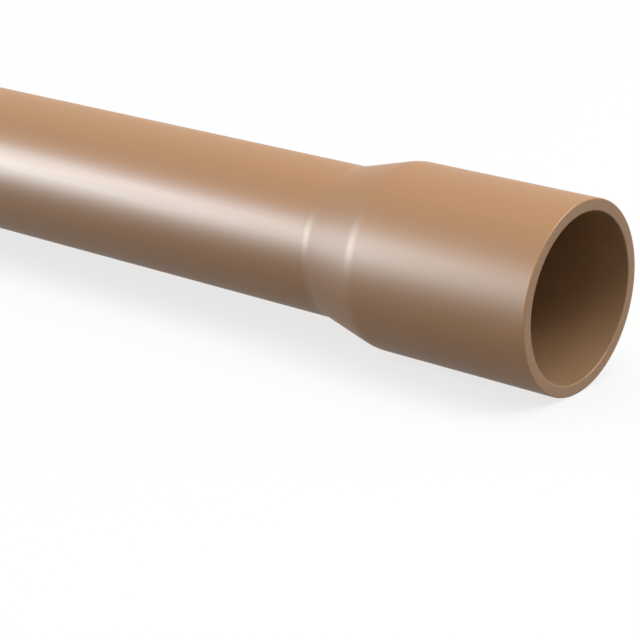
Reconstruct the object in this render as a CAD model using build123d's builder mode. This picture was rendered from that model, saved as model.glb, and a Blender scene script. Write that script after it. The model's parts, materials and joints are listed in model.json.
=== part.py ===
from build123d import *
import os

# Belled PVC water pipe: one extruded length with a socket formed on one end, lying on the floor.
# Millimetres, +Z up. The pipe runs along X with its mouth at +X, and the origin is on the floor
# under the middle of its length.

# Driving dimensions
pipe_length = 1000.0  # overall, from the plain end to the mouth
pipe_outer_diameter = 25.0
pipe_wall = 2.3
socket_depth = 32.7  # from the mouth to where the bell starts to close in
socket_clearance = 0.4  # radial gap round a pipe pushed into the socket
bell_wall = 2.4
flare_length = 10.6  # along the axis, between the bell and the pipe
throat_radius = 7.0  # outside bend where the flare leaves the pipe
shoulder_radius = 8.0  # outside bend where the flare meets the bell
lead_in_depth = 6.0  # taper inside the mouth, which guides a pipe in
lead_in_rise = 0.5  # how much wider than the socket the taper opens, in radius
lead_in_bend_radius = 12.0  # where the taper runs out into the socket
rim_edge_radius = 0.2  # both edges of the mouth
cut_edge_radius = 0.3  # both edges of the plain end

# Radii about the pipe's axis
pipe_outer_radius = pipe_outer_diameter / 2
waterway_radius = pipe_outer_radius - pipe_wall
socket_radius = pipe_outer_radius + socket_clearance
lead_in_radius = socket_radius + lead_in_rise
bell_radius = socket_radius + bell_wall

# The wall keeps its thickness round both bends, so the bore's bends follow the outside ones
bore_throat_radius = throat_radius + pipe_wall
bore_shoulder_radius = shoulder_radius - bell_wall

# Places along the axis
mouth_x = pipe_length / 2
lead_in_x = mouth_x - lead_in_depth
shoulder_x = mouth_x - socket_depth
throat_x = shoulder_x - flare_length
plain_end_x = mouth_x - pipe_length

# The bell is the widest part, so it is what touches the floor
section_plane = Plane(origin=(0, 0, bell_radius), x_dir=(1, 0, 0), z_dir=(0, -1, 0))
pipe_axis = Axis(section_plane.origin, (1, 0, 0))

# Wall section as corners: place along the axis, distance from the axis, radius of the corner
outside_corners = [
    (plain_end_x, pipe_outer_radius, cut_edge_radius),
    (throat_x, pipe_outer_radius, throat_radius),
    (shoulder_x, bell_radius, shoulder_radius),
    (mouth_x, bell_radius, rim_edge_radius),
]
bore_corners = [
    (mouth_x, lead_in_radius, rim_edge_radius),
    (lead_in_x, socket_radius, lead_in_bend_radius),
    (shoulder_x, socket_radius, bore_shoulder_radius),
    (throat_x, waterway_radius, bore_throat_radius),
    (plain_end_x, waterway_radius, cut_edge_radius),
]
wall_corners = outside_corners + bore_corners

with BuildPart() as pipe:
    with BuildSketch(section_plane):
        with BuildLine():
            FilletPolyline(
                [(x, distance) for x, distance, _ in wall_corners],
                radius=[corner for _, _, corner in wall_corners],
                close=True,
            )
        make_face()
    revolve(axis=pipe_axis)

pipe.part.label = "pipe"
os.makedirs("parts", exist_ok=True)
export_step(pipe.part, "parts/pipe.step")
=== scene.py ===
import json
import math

import bpy
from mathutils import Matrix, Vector


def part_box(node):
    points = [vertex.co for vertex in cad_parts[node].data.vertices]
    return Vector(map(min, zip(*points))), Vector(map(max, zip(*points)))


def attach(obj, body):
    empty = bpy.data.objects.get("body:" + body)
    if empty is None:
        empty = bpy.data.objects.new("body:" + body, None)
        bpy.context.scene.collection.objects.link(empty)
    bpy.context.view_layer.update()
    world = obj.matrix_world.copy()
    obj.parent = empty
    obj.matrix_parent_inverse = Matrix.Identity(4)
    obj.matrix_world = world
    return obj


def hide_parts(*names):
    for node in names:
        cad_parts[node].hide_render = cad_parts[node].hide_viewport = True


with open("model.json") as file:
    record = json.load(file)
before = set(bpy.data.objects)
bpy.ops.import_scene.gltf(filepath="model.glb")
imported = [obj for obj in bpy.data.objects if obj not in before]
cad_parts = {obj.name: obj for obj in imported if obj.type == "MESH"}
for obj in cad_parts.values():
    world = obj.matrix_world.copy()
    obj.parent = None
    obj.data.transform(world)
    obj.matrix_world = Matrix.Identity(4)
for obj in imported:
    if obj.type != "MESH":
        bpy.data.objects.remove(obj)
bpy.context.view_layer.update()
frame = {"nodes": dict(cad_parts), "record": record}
print("frame loaded with", ", ".join(frame["nodes"]))

# Measures that the frame already holds, in metres
mounts = {mount["name"]: mount for mount in frame["record"]["mounts"]}
pipeLow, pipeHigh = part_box("pipe")
axisHeight = mounts["socket"]["pos_m"][2]


def mountRadius(name):
    return mounts[name]["dims"]["r_mm"] / 1000


def addObject(name, data):
    thing = bpy.data.objects.new(name, data)
    bpy.context.scene.collection.objects.link(thing)
    return thing


def emptyTree(owner):
    owner.use_nodes = True
    owner.node_tree.nodes.clear()
    return owner.node_tree


# Node helpers: a value that is a socket gets a link, anything else is set on the socket
def feed(tree, socket, value):
    if isinstance(value, bpy.types.NodeSocket):
        tree.links.new(value, socket)
    else:
        socket.default_value = value


def addNode(tree, kind, inputs=None, **settings):
    node = tree.nodes.new(kind)
    for name, value in settings.items():
        setattr(node, name, value)
    for name, value in (inputs or {}).items():
        feed(tree, node.inputs[name], value)
    return node


def reckon(tree, operation, *numbers):
    node = addNode(tree, "ShaderNodeMath", dict(enumerate(numbers)), operation=operation)
    return node.outputs[0]


def reckonVector(tree, operation, *vectors):
    node = addNode(tree, "ShaderNodeVectorMath", dict(enumerate(vectors)), operation=operation)
    return node.outputs["Value" if operation == "DOT_PRODUCT" else "Vector"]


def mixTones(tree, share, first, second):
    # 6, 7 and 2 are the colour sockets of the node
    node = addNode(tree, "ShaderNodeMix", {0: share, 6: first, 7: second}, data_type="RGBA")
    return node.outputs[2]


def blend(tree, share, first, second):
    return addNode(tree, "ShaderNodeMixShader", {0: share, 1: first, 2: second}).outputs[0]


# Direction square to the pipe's axis, from the axis to a place
def awayFromAxis(tree, place, axisPlace):
    fromAxis = reckonVector(tree, "SUBTRACT", place, axisPlace)
    across = reckonVector(tree, "MULTIPLY", fromAxis, (0.0, 1.0, 1.0))
    return reckonVector(tree, "NORMALIZE", across)


# Brown PVC, satin as it leaves the extruder
pvcFinish = {
    "tone": (0.474, 0.231, 0.085, 1.0),
    "paleTone": (0.491, 0.242, 0.091, 1.0),  # the lighter drawn streaks
    "sawnTone": (0.500, 0.297, 0.170, 1.0),  # the sawn ends are paler and greyer
    "borePaintedShade": (0.360, 0.205, 0.098, 1.0),  # painted shade: darker and duller in the bore, for the dim inside of the pipe
    "roughness": 0.466,
    "roughnessSpread": 0.015,
    "sawnRoughness": 0.3,  # added on the sawn ends
    "refraction": 1.5,
    "shine": 0.6,  # specular level
    "streaksRound": 26.0,  # drawn lines, more means finer
    "streaksAlong": 1.6,  # how quickly a line changes along the pipe
    "streakDetail": 4.0,
    "streakRaggedness": 0.62,
    "streakRange": (0.3, 0.7),  # the noise at the smoothest and the roughest lines
    "lineDepth": 0.000002,
    "grain": 900.0,
    "grainDetail": 3.0,
    "grainShare": 0.15,  # of the lines' depth
    "bladeShift": (0.0, 0.11, -0.05),  # sets the saw marks round a blade beside the pipe
    "sawPitch": 1900.0,
    "sawWobble": 1.5,
    "sawDetail": 2.0,
    "sawDepth": 0.00004,
}


# Lines that run straight along the pipe and through the bell
def drawnLines(tree, look, place):
    heading = awayFromAxis(tree, place, (0.0, 0.0, axisHeight))
    along = reckonVector(tree, "MULTIPLY", place, (look["streaksAlong"], 0.0, 0.0))
    return addNode(
        tree,
        "ShaderNodeTexNoise",
        {
            "Vector": reckonVector(tree, "ADD", heading, along),
            "Scale": look["streaksRound"],
            "Detail": look["streakDetail"],
            "Roughness": look["streakRaggedness"],
        },
    ).outputs["Fac"]


# Faint arcs from the blade, for the sawn ends
def sawArcs(tree, look, place):
    shifted = addNode(tree, "ShaderNodeMapping", {"Vector": place, "Location": look["bladeShift"]})
    return addNode(
        tree,
        "ShaderNodeTexWave",
        {
            "Vector": shifted.outputs[0],
            "Scale": look["sawPitch"],
            "Distortion": look["sawWobble"],
            "Detail": look["sawDetail"],
        },
        wave_type="RINGS",
        rings_direction="X",
    ).outputs["Fac"]


def markOnPipe(tree, name):
    return addNode(tree, "ShaderNodeAttribute", attribute_name=name).outputs["Fac"]


def brownPvc(look):
    material = bpy.data.materials.new("brownPvc")
    tree = emptyTree(material)
    place = addNode(tree, "ShaderNodeTexCoord").outputs["Object"]
    sawn = markOnPipe(tree, "sawnEnd")
    bore = markOnPipe(tree, "bore")
    lines = drawnLines(tree, look, place)
    arcs = sawArcs(tree, look, place)
    grain = addNode(
        tree,
        "ShaderNodeTexNoise",
        {"Vector": place, "Scale": look["grain"], "Detail": look["grainDetail"]},
    ).outputs["Fac"]

    tint = mixTones(tree, lines, look["tone"], look["paleTone"])
    # painted shade: the bore takes a darker, duller tone for the dim inside of the pipe
    tint = mixTones(tree, bore, tint, look["borePaintedShade"])
    tint = mixTones(tree, sawn, tint, look["sawnTone"])

    smoothest, roughest = look["streakRange"]
    gloss = addNode(
        tree,
        "ShaderNodeMapRange",
        {
            "Value": lines,
            "From Min": smoothest,
            "From Max": roughest,
            "To Min": look["roughness"] - look["roughnessSpread"],
            "To Max": look["roughness"] + look["roughnessSpread"],
        },
    ).outputs[0]
    gloss = reckon(tree, "ADD", gloss, reckon(tree, "MULTIPLY", sawn, look["sawnRoughness"]))

    # The relief is in metres, so the bump takes it whole
    relief = reckon(tree, "ADD", lines, reckon(tree, "MULTIPLY", grain, look["grainShare"]))
    relief = reckon(tree, "MULTIPLY", relief, look["lineDepth"])
    sawMarks = reckon(tree, "MULTIPLY", reckon(tree, "MULTIPLY", arcs, sawn), look["sawDepth"])
    relief = reckon(tree, "ADD", relief, sawMarks)
    bump = addNode(tree, "ShaderNodeBump", {"Height": relief, "Strength": 1.0, "Distance": 1.0})

    shader = addNode(
        tree,
        "ShaderNodeBsdfPrincipled",
        {
            "Base Color": tint,
            "Roughness": gloss,
            "Normal": bump.outputs[0],
            "IOR": look["refraction"],
            "Specular IOR Level": look["shine"],
        },
    )
    addNode(tree, "ShaderNodeOutputMaterial", {"Surface": shader.outputs[0]})
    return material


# The pipe: one wall section with rounded corners, turned about its axis
pipeSizes = {
    "Mouth": pipeHigh.x,
    "Plain End": pipeLow.x,
    "Axis Height": axisHeight,
    "Pipe Radius": mountRadius("plain_end"),
    "Waterway Radius": mountRadius("waterway"),
    "Socket Radius": mountRadius("socket"),
    "Bell Radius": axisHeight,  # the bell is what lies on the floor
    "Socket Depth": 0.0327,
    "Flare Length": 0.0106,
    "Throat Bend": 0.007,
    "Shoulder Bend": 0.008,
    "Lead In Depth": 0.006,
    "Lead In Rise": 0.0005,
    "Lead In Bend": 0.012,
    "Rim Edge": 0.0002,
    "Cut Edge": 0.0003,
    "Bend Steps": 16,
    "Turn Steps": 192,
}
# Which way a face has to look to be marked: along the axis for an end, towards it for the bore
markLimits = {"sawnEnd": 0.99, "bore": -0.5}


def wallSection(tree, size):
    shoulder = reckon(tree, "SUBTRACT", size["Mouth"], size["Socket Depth"])
    throat = reckon(tree, "SUBTRACT", shoulder, size["Flare Length"])
    pipeWall = reckon(tree, "SUBTRACT", size["Pipe Radius"], size["Waterway Radius"])
    bellWall = reckon(tree, "SUBTRACT", size["Bell Radius"], size["Socket Radius"])
    leadIn = reckon(tree, "SUBTRACT", size["Mouth"], size["Lead In Depth"])
    leadInRadius = reckon(tree, "ADD", size["Socket Radius"], size["Lead In Rise"])
    boreThroatBend = reckon(tree, "ADD", size["Throat Bend"], pipeWall)
    boreShoulderBend = reckon(tree, "SUBTRACT", size["Shoulder Bend"], bellWall)

    # Corners of the wall: place along the pipe, distance from the axis, bend
    corners = [
        (size["Plain End"], size["Pipe Radius"], size["Cut Edge"]),
        (throat, size["Pipe Radius"], size["Throat Bend"]),
        (shoulder, size["Bell Radius"], size["Shoulder Bend"]),
        (size["Mouth"], size["Bell Radius"], size["Rim Edge"]),
        (size["Mouth"], leadInRadius, size["Rim Edge"]),
        (leadIn, size["Socket Radius"], size["Lead In Bend"]),
        (shoulder, size["Socket Radius"], boreShoulderBend),
        (throat, size["Waterway Radius"], boreThroatBend),
        (size["Plain End"], size["Waterway Radius"], size["Cut Edge"]),
    ]
    index = addNode(tree, "GeometryNodeInputIndex").outputs[0]
    cornerPlace = addNode(tree, "GeometryNodeIndexSwitch", {"Index": index}, data_type="VECTOR")
    cornerBend = addNode(tree, "GeometryNodeIndexSwitch", {"Index": index}, data_type="FLOAT")
    for number, (station, distance, bend) in enumerate(corners):
        if number > 1:  # the switch starts with two items
            cornerPlace.index_switch_items.new()
            cornerBend.index_switch_items.new()
        rise = reckon(tree, "SUBTRACT", distance, size["Pipe Radius"])
        run = reckon(tree, "MULTIPLY", station, -1.0)  # the sweep runs the other way
        point = addNode(tree, "ShaderNodeCombineXYZ", {"X": rise, "Y": run}).outputs[0]
        feed(tree, cornerPlace.inputs[str(number)], point)
        feed(tree, cornerBend.inputs[str(number)], bend)

    points = addNode(
        tree,
        "GeometryNodePoints",
        {"Count": len(corners), "Position": cornerPlace.outputs[0]},
    ).outputs[0]
    section = addNode(
        tree, "GeometryNodePointsToCurves", {"Points": points, "Weight": index}
    ).outputs[0]
    section = addNode(
        tree, "GeometryNodeSetSplineCyclic", {"Geometry": section, "Cyclic": True}
    ).outputs[0]
    return addNode(
        tree,
        "GeometryNodeFilletCurve",
        {"Curve": section, "Count": size["Bend Steps"], "Radius": cornerBend.outputs[0]},
        mode="POLY",
    ).outputs[0]


# Sweep the section round a ring, then lay the pipe down along X
def turnedWall(tree, size, section, axisPlace):
    ring = addNode(
        tree,
        "GeometryNodeCurvePrimitiveCircle",
        {"Resolution": size["Turn Steps"], "Radius": size["Pipe Radius"]},
    ).outputs[0]
    wall = addNode(
        tree, "GeometryNodeCurveToMesh", {"Curve": ring, "Profile Curve": section}
    ).outputs[0]
    wall = addNode(
        tree,
        "GeometryNodeTransform",
        {"Geometry": wall, "Translation": axisPlace, "Rotation": (0.0, math.radians(90), 0.0)},
    ).outputs[0]
    # The sweep leaves the faces looking into the wall
    return addNode(tree, "GeometryNodeFlipFaces", {"Mesh": wall}).outputs[0]


def storeMark(tree, wall, name, mark):
    return addNode(
        tree,
        "GeometryNodeStoreNamedAttribute",
        {"Geometry": wall, "Name": name, "Value": mark},
        data_type="FLOAT",
        domain="FACE",
    ).outputs[0]


# Mark both sawn ends and the bore for the finish; the bore mark carries painted shade
def markedWall(tree, wall, axisPlace):
    facing = addNode(tree, "GeometryNodeInputNormal").outputs[0]
    facingX = addNode(tree, "ShaderNodeSeparateXYZ", {0: facing}).outputs["X"]
    squareness = reckon(tree, "ABSOLUTE", facingX)
    sawn = reckon(tree, "GREATER_THAN", squareness, markLimits["sawnEnd"])
    wall = storeMark(tree, wall, "sawnEnd", sawn)
    place = addNode(tree, "GeometryNodeInputPosition").outputs[0]
    heading = awayFromAxis(tree, place, axisPlace)
    outwardness = reckonVector(tree, "DOT_PRODUCT", facing, heading)
    bore = reckon(tree, "LESS_THAN", outwardness, markLimits["bore"])
    return storeMark(tree, wall, "bore", bore)


def latheTree():
    tree = bpy.data.node_groups.new("belledPipeLathe", "GeometryNodeTree")
    tree.interface.new_socket("Pipe", in_out="OUTPUT", socket_type="NodeSocketGeometry")
    for name in pipeSizes:
        kind = "NodeSocketInt" if name.endswith("Steps") else "NodeSocketFloat"
        tree.interface.new_socket(name, in_out="INPUT", socket_type=kind)
    tree.interface.new_socket("Finish", in_out="INPUT", socket_type="NodeSocketMaterial")
    size = addNode(tree, "NodeGroupInput").outputs

    axisPlace = addNode(tree, "ShaderNodeCombineXYZ", {"Z": size["Axis Height"]}).outputs[0]
    wall = turnedWall(tree, size, wallSection(tree, size), axisPlace)
    wall = markedWall(tree, wall, axisPlace)
    wall = addNode(tree, "GeometryNodeSetShadeSmooth", {"Geometry": wall}).outputs[0]
    wall = addNode(tree, "GeometryNodeRealizeInstances", {"Geometry": wall}).outputs[0]
    wall = addNode(
        tree, "GeometryNodeSetMaterial", {"Geometry": wall, "Material": size["Finish"]}
    ).outputs[0]
    addNode(tree, "NodeGroupOutput", {"Pipe": wall})
    return tree


# A UV map to paint maps on: once round the pipe across, once along the wall section up
paintMap = {
    "name": "OFBake",  # the name of the map; the name that the export looks for
    "stretch": 40.0,  # a step in or out counts this many times, for more room on the thin ends
}


def unrollForPaint(mesh, look):
    turns = pipeSizes["Turn Steps"]
    points = len(mesh.vertices) // turns  # in one section
    section = [vertex.co for vertex in mesh.vertices[:points]]
    distances = [math.hypot(place.y, place.z - axisHeight) for place in section]
    runs = [0.0]
    for step in range(points):
        following = (step + 1) % points
        ahead = abs(section[following].x - section[step].x)
        outward = abs(distances[following] - distances[step])
        runs.append(runs[-1] + ahead + look["stretch"] * outward)

    # The sweep numbers points and faces section by section, and both ways close on themselves
    paint = mesh.uv_layers.new(name=look["name"])
    for face in mesh.polygons:
        turn, step = divmod(face.index, points)
        for corner in face.loop_indices:
            cornerTurn, cornerStep = divmod(mesh.loops[corner].vertex_index, points)
            across = (turn + (cornerTurn != turn)) / turns
            up = runs[step + (cornerStep != step)] / runs[-1]
            paint.uv[corner].vector = (across, up)


def belledPipe(material):
    tree = latheTree()
    piece = addObject("belledPipe", bpy.data.meshes.new("belledPipe"))
    lathe = piece.modifiers.new("lathe", "NODES")
    lathe.node_group = tree
    inputs = {s.name: s.identifier for s in tree.interface.items_tree if s.in_out == "INPUT"}
    for name, value in {**pipeSizes, "Finish": material}.items():
        lathe[inputs[name]] = value
    evaluated = piece.evaluated_get(bpy.context.evaluated_depsgraph_get())
    mesh = bpy.data.meshes.new_from_object(evaluated)
    piece.modifiers.remove(lathe)
    piece.data = mesh
    unrollForPaint(mesh, paintMap)
    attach(piece, "root")
    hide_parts("pipe")
    print("pipe turned:", len(mesh.vertices), "points,", len(mesh.polygons), "faces")


# Pale floor: white to the eye with the pipe's shadow on it, and a modest bounce on the pipe
floorLook = {
    "size": 60.0,
    "white": (1.0, 1.0, 1.0, 1.0),
    "bounce": (0.08, 0.08, 0.08, 1.0),
    "shadow": 0.25,  # how much of the shadow shows
    "mirroredShadow": 0.4,  # and how much of it the pipe's sheen picks up
}
# Strengths: what is seen or mirrored, and what lights the pipe
surroundings = {"colour": (1.0, 1.0, 1.0, 1.0), "shown": 1.0, "ambient": 0.55}


def rayKinds(tree):
    path = addNode(tree, "ShaderNodeLightPath").outputs
    mirrored = reckon(tree, "MAXIMUM", path["Is Glossy Ray"], path["Is Transmission Ray"])
    return path["Is Camera Ray"], mirrored


def paleFloor(look):
    half = look["size"] / 2
    mesh = bpy.data.meshes.new("floor")
    corners = [(-half, -half, 0.0), (half, -half, 0.0), (half, half, 0.0), (-half, half, 0.0)]
    mesh.from_pydata(corners, [], [(0, 1, 2, 3)])
    floor = addObject("floor", mesh)
    material = bpy.data.materials.new("paleFloor")
    tree = emptyTree(material)
    lit = addNode(tree, "ShaderNodeBsdfDiffuse", {"Color": look["white"]}).outputs[0]
    plain = addNode(tree, "ShaderNodeEmission", {"Color": look["white"]}).outputs[0]
    bounce = addNode(tree, "ShaderNodeBsdfDiffuse", {"Color": look["bounce"]}).outputs[0]
    seen, mirrored = rayKinds(tree)
    shown = blend(tree, look["shadow"], plain, lit)
    reflected = blend(tree, look["mirroredShadow"], plain, lit)
    surface = blend(tree, seen, bounce, shown)
    surface = blend(tree, mirrored, surface, reflected)
    addNode(tree, "ShaderNodeOutputMaterial", {"Surface": surface})
    mesh.materials.append(material)


def paleSurroundings(look):
    world = bpy.data.worlds.new("paleSurroundings")
    bpy.context.scene.world = world
    tree = emptyTree(world)
    shown, ambient = (
        addNode(
            tree, "ShaderNodeBackground", {"Color": look["colour"], "Strength": look[strength]}
        ).outputs[0]
        for strength in ("shown", "ambient")
    )
    either = reckon(tree, "MAXIMUM", *rayKinds(tree))
    addNode(tree, "ShaderNodeOutputWorld", {"Surface": blend(tree, either, ambient, shown)})


# Soft studio light: an overhead canopy, and panels that look at one place each
canopy = {"strength": 0.77, "spread": math.radians(45)}
panels = {
    "softbox": {  # the long sheen on the side
        "place": (-1.144, -1.389, 0.396),
        "aim": (0.45, 0.0, 0.015),
        "width": 0.70,
        "height": 1.10,
        "power": 110.0,
        "colour": (0.90, 0.96, 1.0),
        "sheenOnly": True,
    },
    "frontFill": {  # reaches into the mouth
        "place": (1.184, 0.168, 0.987),
        "aim": (0.5, 0.0, 0.015),
        "width": 0.5,
        "height": 0.5,
        "power": 4.4,
        "colour": (1.0, 1.0, 1.0),
        "sheenOnly": False,
    },
    "edgeLight": {  # bright lines on the rim's rounded edges
        "place": (1.087, 0.414, 0.975),
        "aim": (0.5, 0.0, 0.015),
        "width": 0.5,
        "height": 0.5,
        "power": 13.0,
        "colour": (1.0, 1.0, 1.0),
        "sheenOnly": True,
    },
}


def addLamp(name, kind):
    return addObject(name, bpy.data.lights.new(name, kind))


def turnTo(thing, aim):
    thing.rotation_euler = (Vector(aim) - thing.location).to_track_quat("-Z", "Y").to_euler()


def addPanel(name, setup):
    panel = addLamp(name, "AREA")
    panel.data.shape = "RECTANGLE"
    panel.data.size = setup["width"]
    panel.data.size_y = setup["height"]
    panel.data.energy = setup["power"]
    panel.data.color = setup["colour"]
    panel.location = setup["place"]
    turnTo(panel, setup["aim"])
    panel.visible_camera = False
    panel.visible_diffuse = not setup["sheenOnly"]


def studioLight():
    overhead = addLamp("canopy", "SUN")
    overhead.data.energy = canopy["strength"]
    overhead.data.angle = canopy["spread"]
    for name, setup in panels.items():
        addPanel(name, setup)


# Camera, placed from the middle of the mouth
cameraSetup = {
    "fromMouth": (0.164613, -0.265532, 0.107779),
    "aimFromMouth": (-0.030755, -0.024023, -0.003598),
    "lens": 123.6,
    "sensor": 36.0,
    "nearest": 0.01,  # where the view starts
}


def addCamera(setup):
    mouth = Vector((pipeHigh.x, 0.0, axisHeight))
    camera = addObject("camera", bpy.data.cameras.new("camera"))
    camera.data.lens = setup["lens"]
    camera.data.sensor_width = setup["sensor"]
    camera.data.clip_start = setup["nearest"]
    camera.location = mouth + Vector(setup["fromMouth"])
    turnTo(camera, mouth + Vector(setup["aimFromMouth"]))
    bpy.context.scene.camera = camera


belledPipe(brownPvc(pvcFinish))
paleFloor(floorLook)
paleSurroundings(surroundings)
studioLight()
addCamera(cameraSetup)
bpy.context.scene.view_settings.view_transform = "Standard"
print("floor, light and camera are set")
